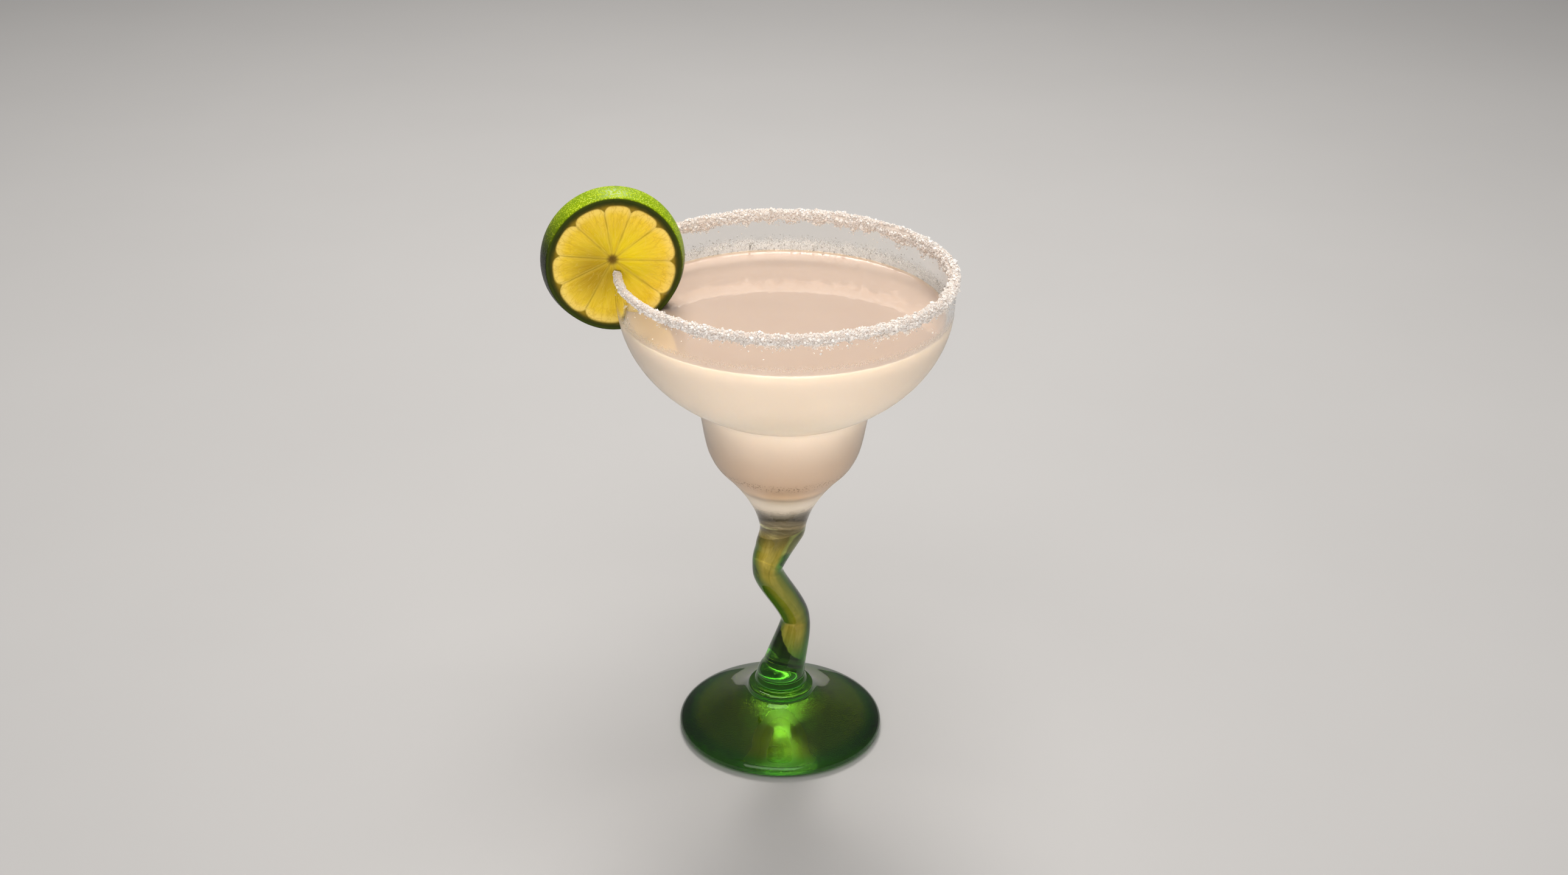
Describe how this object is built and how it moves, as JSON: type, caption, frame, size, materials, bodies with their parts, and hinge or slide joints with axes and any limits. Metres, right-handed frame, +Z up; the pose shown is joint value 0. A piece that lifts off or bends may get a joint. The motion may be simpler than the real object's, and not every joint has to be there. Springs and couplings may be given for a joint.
{
  "type": "margarita cocktail",
  "caption": "Cloudy margarita in a clear two-tier glass with a green zigzag stem and round foot, a salted rim and a lime wheel slotted onto the rim.",
  "frame": {"origin": "centre of the foot's flat underside, where the glass stands", "axes": "+Z up along the glass's axis, -Y towards the drinker, the lime wheel at -X"},
  "size_m": [0.1365, 0.1141, 0.2001],
  "materials": {
    "clear_glass": "clear, misted with cold below the drink's level",
    "green_glass": "deep green, glossy",
    "drink": "cloudy cream liquid with a glossy surface",
    "lime": "moist yellow flesh, waxy green rind",
    "salt": "coarse white crystals"
  },
  "bodies": {
    "root": {"bowl": "clear_glass", "stem_and_foot": "green_glass", "drink": "drink", "lime_wheel": "lime", "salt_rim": "salt"}
  },
  "joints": []
}
